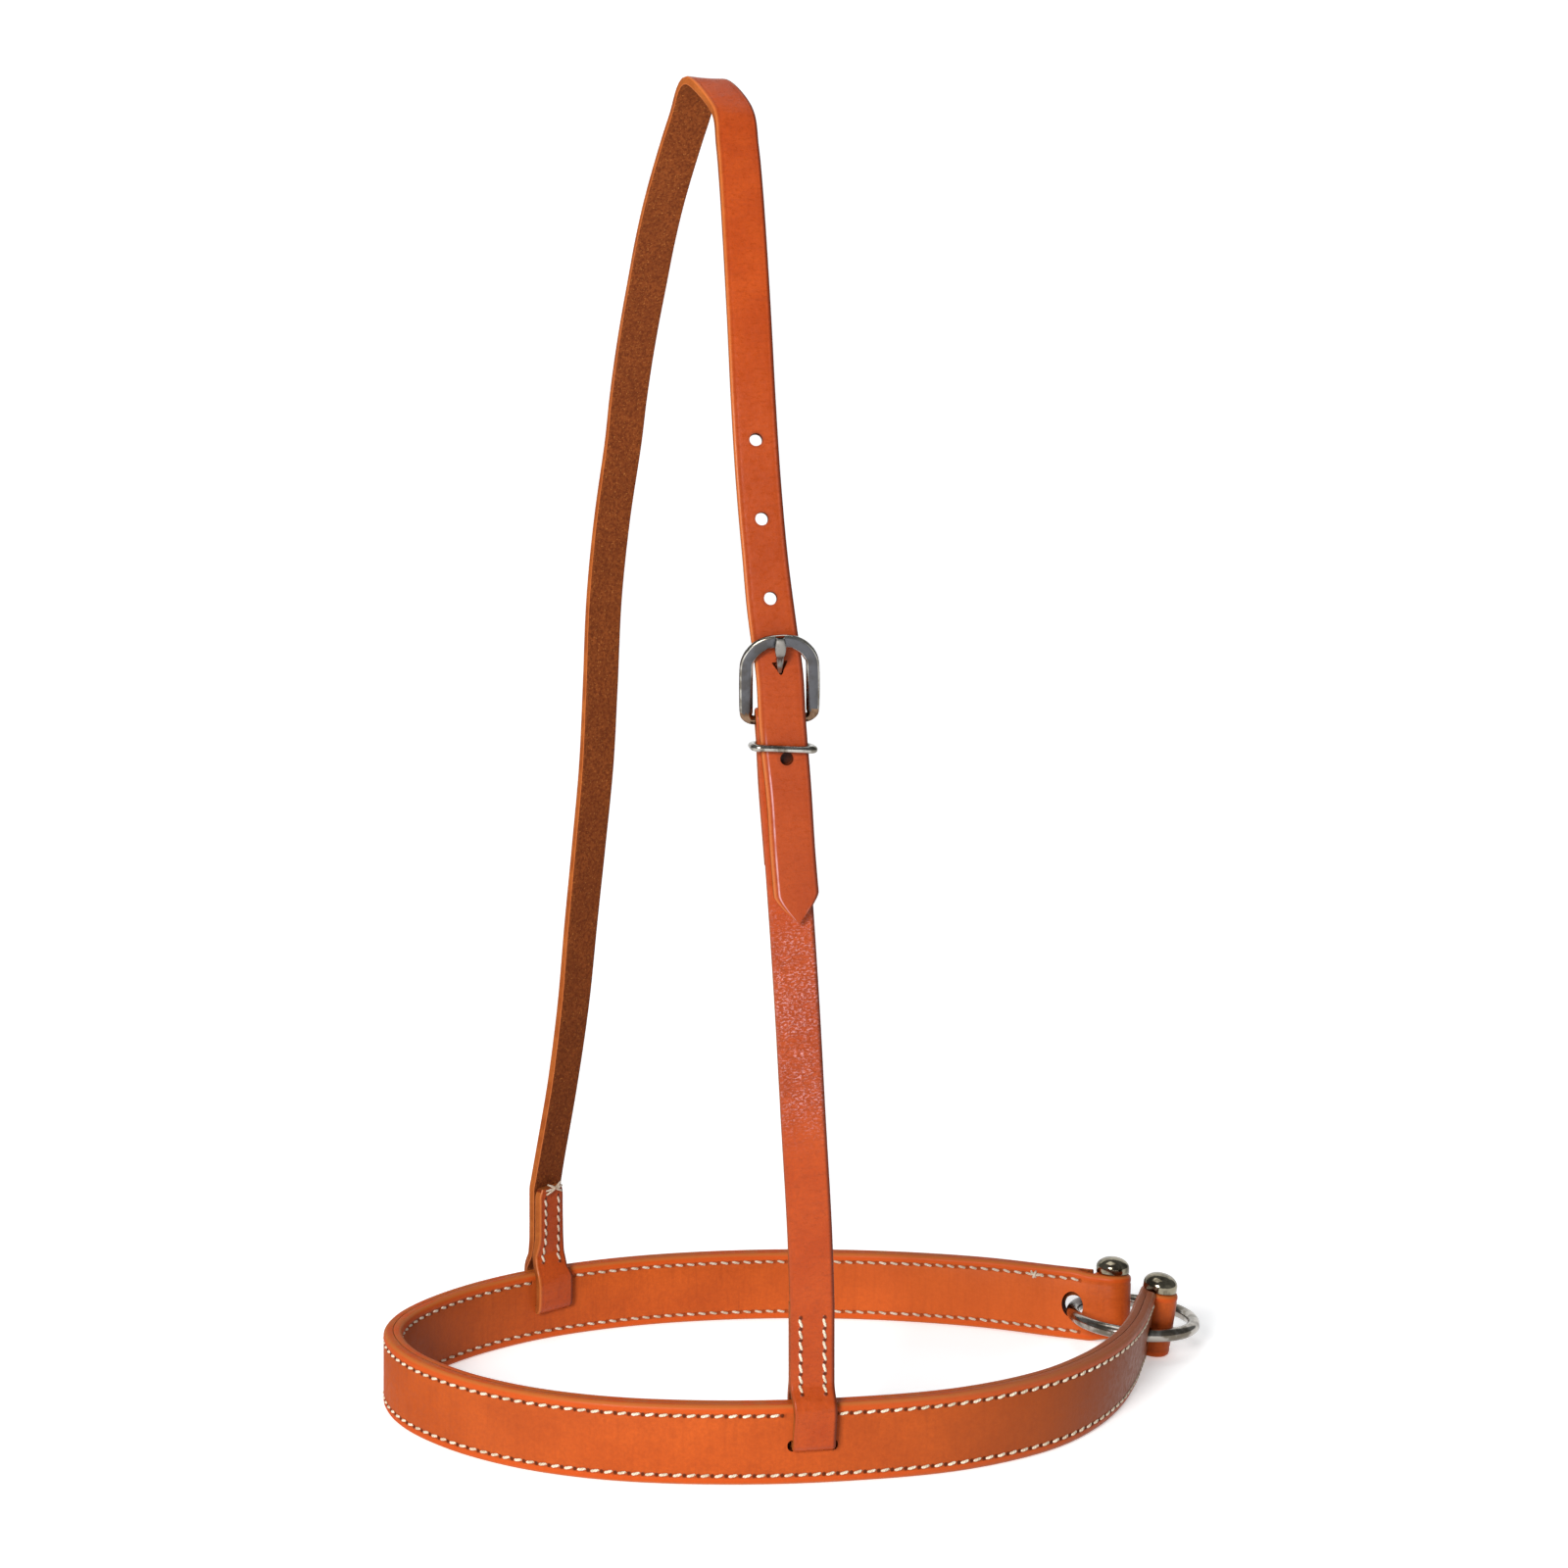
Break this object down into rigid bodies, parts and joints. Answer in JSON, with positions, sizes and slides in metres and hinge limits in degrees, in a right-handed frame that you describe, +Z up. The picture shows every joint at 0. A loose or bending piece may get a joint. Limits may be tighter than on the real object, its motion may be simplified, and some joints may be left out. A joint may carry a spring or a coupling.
{
  "type": "bridle noseband",
  "caption": "Leather tie-down noseband: stitched nose strap joined by a ring through its rolled ends, hung from a buckled strap that goes over the poll.",
  "frame": {"origin": "middle of the outline at the height of the noseband's lowest edge", "axes": "+Z up towards the poll, +X from the nose end to the ring, +Y from the near side with the buckle to the far side"},
  "size_m": [0.2954, 0.1762, 0.4587],
  "materials": {
    "outer_grain": "smooth russet grain, oiled, burnished edges",
    "lining_grain": "smooth russet grain, slightly darker",
    "cheek_grain": "smooth russet grain",
    "crown_grain": "smooth russet grain outside, brushed flesh side inside",
    "thread": "waxed white thread",
    "steel": "polished stainless steel"
  },
  "bodies": {
    "noseband_and_hanger": {"buckle_frame": "steel", "crown_strap": "crown_grain", "far_loop_cross_thread": "thread", "far_loop_row_inside_left": "thread", "far_loop_row_inside_right": "thread", "far_loop_row_outside_left": "thread", "far_loop_row_outside_right": "thread", "fold_row_left": "thread", "fold_row_right": "thread", "lower_row_inside": "thread", "lower_row_outside": "thread", "near_cheek_strap": "cheek_grain", "near_loop_row_inside_left": "thread", "near_loop_row_inside_right": "thread", "near_loop_row_outside_left": "thread", "near_loop_row_outside_right": "thread", "noseband_lining_strap": "lining_grain", "noseband_outer_strap": "outer_grain", "upper_row_far_inside": "thread", "upper_row_far_outside": "thread", "upper_row_near_inside": "thread", "upper_row_near_outside": "thread", "upper_row_nose_inside": "thread", "upper_row_nose_outside": "thread"},
    "near_pin": {"near_pin_post": "steel", "near_pin_screw": "steel"},
    "far_pin": {"far_pin_post": "steel", "far_pin_screw": "steel"},
    "ring": {"tie_down_ring": "steel"},
    "keeper": {"keeper_loop": "steel"},
    "tongue": {"buckle_tongue": "steel"}
  },
  "joints": [
    {"name": "ring_swing", "type": "hinge", "parent": "noseband_and_hanger", "child": "ring", "pos_m": [0.11228, 0.04681, 0.01126], "axis": [0.5592, -0.829, 0], "range_deg": [-9, 7]},
    {"name": "near_pin_spin", "type": "hinge", "parent": "noseband_and_hanger", "child": "near_pin", "pos_m": [0.12961, 0.0439, 0.01224], "axis": [0.1504, -0.0431, 0.9877], "continuous": true},
    {"name": "far_pin_spin", "type": "hinge", "parent": "noseband_and_hanger", "child": "far_pin", "pos_m": [0.11619, 0.06056, 0.01243], "axis": [0.0358, 0.0982, 0.9945], "continuous": true},
    {"name": "keeper_slide", "type": "slide", "parent": "noseband_and_hanger", "child": "keeper", "axis": [-0.0413, 0, 0.9991], "range_m": [-0.0045, 0.001]},
    {"name": "tongue_pivot", "type": "hinge", "parent": "noseband_and_hanger", "child": "tongue", "pos_m": [-0.00858, -0.07482, 0.24444], "axis": [0.9934, 0.1074, 0.0411], "range_deg": [0, 3]}
  ]
}
